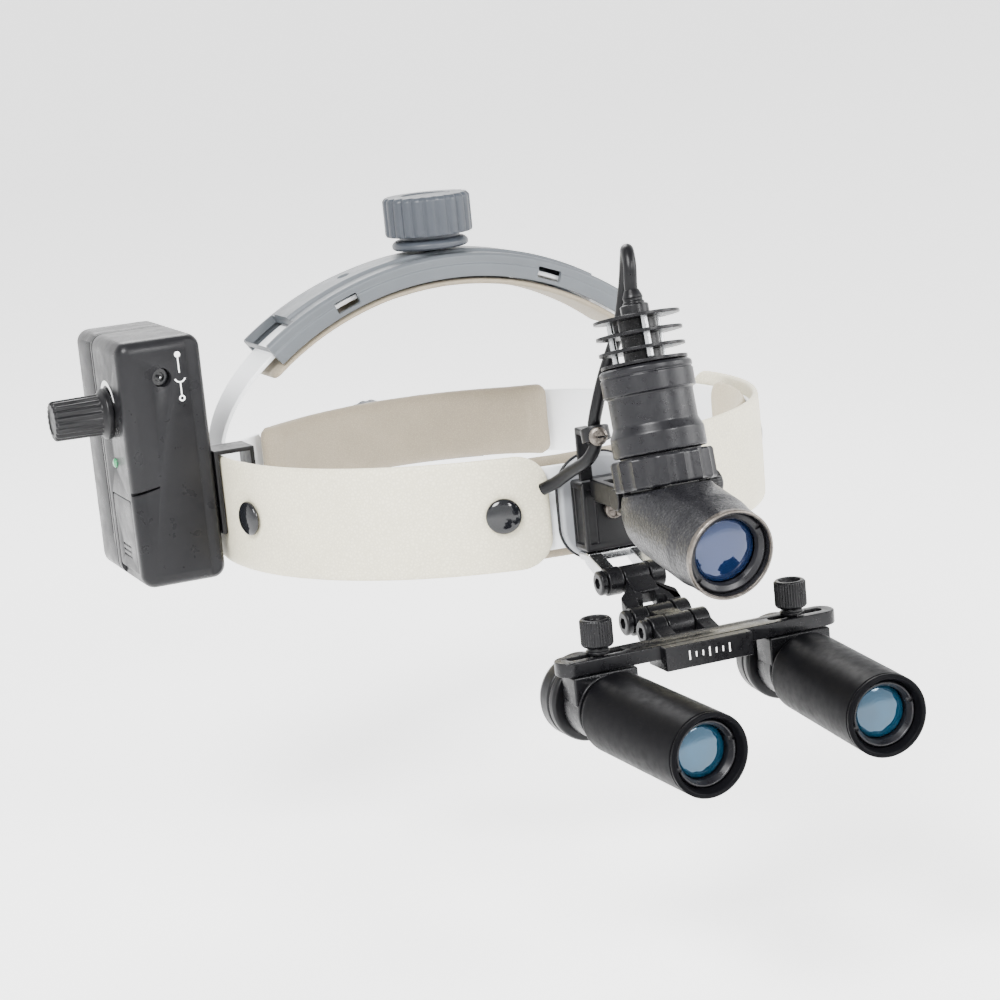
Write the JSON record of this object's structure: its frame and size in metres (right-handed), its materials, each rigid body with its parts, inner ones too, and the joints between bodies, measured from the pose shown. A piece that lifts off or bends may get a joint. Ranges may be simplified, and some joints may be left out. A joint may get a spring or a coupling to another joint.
{
  "type": "headband loupes with lamp",
  "caption": "Headband with padded sides and a crown strap, carrying a hinged pair of magnifying barrels, a tilting angled lamp on the brow and a battery case at the side",
  "frame": {"origin": "centre of the headband ring at half the height of the side pads", "axes": "the wearer faces -Y, the wearer's left is +X and +Z points to the crown; in metres"},
  "size_m": [0.2443, 0.3413, 0.1529],
  "materials": {
    "pad_leather": "satin, fine grain",
    "liner": "matt suede",
    "white_plastic": "smooth",
    "snap": "glossy dome",
    "grey_plastic": "satin moulded",
    "black_plastic": "satin moulded",
    "case_plastic": "fine spark texture",
    "black_metal": "satin anodised black",
    "barrel_black": "matt anodised black",
    "lamp_black": "satin anodised black",
    "steel": "polished, partly blackened",
    "black_screw": "blackened steel",
    "cable": "smooth jacket",
    "battery": "shrink wrap",
    "led": "tinted dome",
    "mirror": "front-coated",
    "lens_glass": "blue anti-glare coating"
  },
  "bodies": {
    "ring": {"front_band": "white_plastic", "brow_plate": "white_plastic", "brow_pad": "liner", "side_pad_right": "pad_leather", "side_pad_left": "pad_leather", "side_liner_right": "liner", "side_liner_left": "liner", "snap_front_right": "snap", "snap_rear_right": "snap", "snap_front_left": "snap", "snap_rear_left": "snap", "side_rivet_right": "snap", "side_rivet_left": "snap", "mount_block": "black_plastic", "block_screw": "black_screw", "loupe_fork": "steel", "fork_pin": "black_screw", "lamp_arm": "black_metal", "cable_clip": "black_metal", "band_cable": "cable", "band_clip": "black_plastic", "case_front": "case_plastic", "case_back": "case_plastic", "battery_pack": "battery", "power_led": "led"},
    "rear_unit": {"rear_housing": "grey_plastic", "rear_pad": "liner"},
    "rear_knob": {"rear_knob": "grey_plastic"},
    "rear_strap_right": {"rear_strap_right": "white_plastic"},
    "rear_strap_left": {"rear_strap_left": "white_plastic"},
    "crown_unit": {"crown_housing": "grey_plastic", "crown_liner": "liner"},
    "crown_knob": {"crown_knob": "grey_plastic"},
    "crown_strap_right": {"crown_strap_right": "white_plastic"},
    "crown_strap_left": {"crown_strap_left": "white_plastic"},
    "upper_link": {"upper_link": "black_metal", "link_pin_upper": "black_screw"},
    "lower_link": {"lower_link": "black_metal", "link_pin_lower": "black_screw"},
    "bridge": {"bridge_bar": "black_metal"},
    "carriage_right": {"clamp_right": "black_plastic", "barrel_right": "barrel_black", "objective_right": "lens_glass"},
    "carriage_left": {"clamp_left": "black_plastic", "barrel_left": "barrel_black", "objective_left": "lens_glass"},
    "thumbscrew_right": {"thumbscrew_right": "black_metal"},
    "thumbscrew_left": {"thumbscrew_left": "black_metal"},
    "eyepiece_right": {"eyepiece_right": "black_plastic"},
    "eyepiece_left": {"eyepiece_left": "black_plastic"},
    "lamp_head": {"elbow_housing": "lamp_black", "lamp_mirror": "mirror", "lamp_lens": "lens_glass", "lamp_barrel": "lamp_black", "heat_sink": "lamp_black", "lamp_cable": "cable"},
    "aperture_ring": {"aperture_ring": "lamp_black"},
    "tilt_knob": {"tilt_knob": "black_metal"},
    "dimmer_knob": {"dimmer_knob": "black_plastic"},
    "battery_door": {"battery_door": "case_plastic"}
  },
  "joints": [
    {"name": "crown_knob_turn", "type": "hinge", "parent": "crown_unit", "child": "crown_knob", "pos_m": [0, 0.0255, 0.085], "axis": [0, 0, 1], "range_deg": [-36, 77]},
    {"name": "crown_rise", "type": "slide", "parent": "ring", "child": "crown_unit", "axis": [0, 0, 1], "range_m": [-0.0021, 0.0045]},
    {"name": "crown_strap_feed_right", "type": "hinge", "parent": "crown_unit", "child": "crown_strap_right", "pos_m": [0, 0.0255, -0.042], "axis": [0, -1, 0], "range_deg": [-1.4, 3]},
    {"name": "crown_strap_feed_left", "type": "hinge", "parent": "crown_unit", "child": "crown_strap_left", "pos_m": [0, 0.0255, -0.042], "axis": [0, 1, 0], "range_deg": [-1.4, 3]},
    {"name": "rear_knob_turn", "type": "hinge", "parent": "rear_unit", "child": "rear_knob", "pos_m": [0, 0.11, -0.003], "axis": [0, 1, 0], "range_deg": [-80, 80]},
    {"name": "rear_travel", "type": "slide", "parent": "ring", "child": "rear_unit", "axis": [0, 1, 0], "range_m": [-0.0058, 0.0058]},
    {"name": "rear_strap_feed_right", "type": "hinge", "parent": "rear_unit", "child": "rear_strap_right", "pos_m": [0, 0.0149, 0], "axis": [0, 0, 1], "range_deg": [-4.1, 4.1]},
    {"name": "rear_strap_feed_left", "type": "hinge", "parent": "rear_unit", "child": "rear_strap_left", "pos_m": [0, 0.0149, 0], "axis": [0, 0, -1], "range_deg": [-4.1, 4.1]},
    {"name": "loupe_flip", "type": "hinge", "parent": "ring", "child": "upper_link", "pos_m": [0, -0.1225, -0.0205], "axis": [1, 0, 0], "range_deg": [-6, 25]},
    {"name": "loupe_reach", "type": "hinge", "parent": "upper_link", "child": "lower_link", "pos_m": [0, -0.139, -0.03], "axis": [1, 0, 0], "range_deg": [-5, 20]},
    {"name": "loupe_tilt", "type": "hinge", "parent": "lower_link", "child": "bridge", "pos_m": [0, -0.1515, -0.0305], "axis": [1, 0, 0], "range_deg": [-8, 20]},
    {"name": "pupil_slide_right", "type": "slide", "parent": "bridge", "child": "carriage_right", "axis": [-1, 0, 0], "range_m": [-0.0045, 0.0065]},
    {"name": "pupil_slide_left", "type": "slide", "parent": "bridge", "child": "carriage_left", "axis": [1, 0, 0], "range_m": [-0.0045, 0.0065]},
    {"name": "thumbscrew_turn_right", "type": "hinge", "parent": "carriage_right", "child": "thumbscrew_right", "pos_m": [-0.03225, -0.1643, -0.024], "axis": [0, 0, 1], "range_deg": [0, 270]},
    {"name": "thumbscrew_turn_left", "type": "hinge", "parent": "carriage_left", "child": "thumbscrew_left", "pos_m": [0.03225, -0.1643, -0.024], "axis": [0, 0, 1], "range_deg": [0, 270]},
    {"name": "eyepiece_turn_right", "type": "hinge", "parent": "carriage_right", "child": "eyepiece_right", "pos_m": [-0.03225, -0.1638, -0.046], "axis": [0.0697, -0.9972, -0.0279], "range_deg": [-40, 40]},
    {"name": "eyepiece_turn_left", "type": "hinge", "parent": "carriage_left", "child": "eyepiece_left", "pos_m": [0.03225, -0.1638, -0.046], "axis": [-0.0697, -0.9972, -0.0279], "range_deg": [-40, 40]},
    {"name": "lamp_tilt", "type": "hinge", "parent": "ring", "child": "lamp_head", "pos_m": [0, -0.133, 0.007], "axis": [1, 0, 0], "range_deg": [-8, 12]},
    {"name": "aperture_turn", "type": "hinge", "parent": "lamp_head", "child": "aperture_ring", "pos_m": [0, -0.1514, 0.0175], "axis": [0, 0.2198, 0.9755], "range_deg": [0, 120]},
    {"name": "tilt_knob_turn", "type": "hinge", "parent": "ring", "child": "tilt_knob", "pos_m": [0.024, -0.133, 0.007], "axis": [1, 0, 0], "range_deg": [0, 180]},
    {"name": "dimmer_turn", "type": "hinge", "parent": "ring", "child": "dimmer_knob", "pos_m": [-0.135, 0.006, 0.036], "axis": [-1, 0, 0], "range_deg": [0, 270]},
    {"name": "battery_door_slide", "type": "slide", "parent": "ring", "child": "battery_door", "axis": [0, 0, -1], "range_m": [0, 0.012]}
  ],
  "couplings": [
    {"joint": "crown_knob_turn", "follows": "crown_rise", "rad_per_m": 297.35},
    {"joint": "crown_strap_feed_right", "follows": "crown_rise", "rad_per_m": 11.416},
    {"joint": "crown_strap_feed_left", "follows": "crown_rise", "rad_per_m": 11.416},
    {"joint": "rear_knob_turn", "follows": "rear_travel", "rad_per_m": 239.81},
    {"joint": "rear_strap_feed_right", "follows": "rear_travel", "rad_per_m": 11.962},
    {"joint": "rear_strap_feed_left", "follows": "rear_travel", "rad_per_m": 11.962}
  ]
}
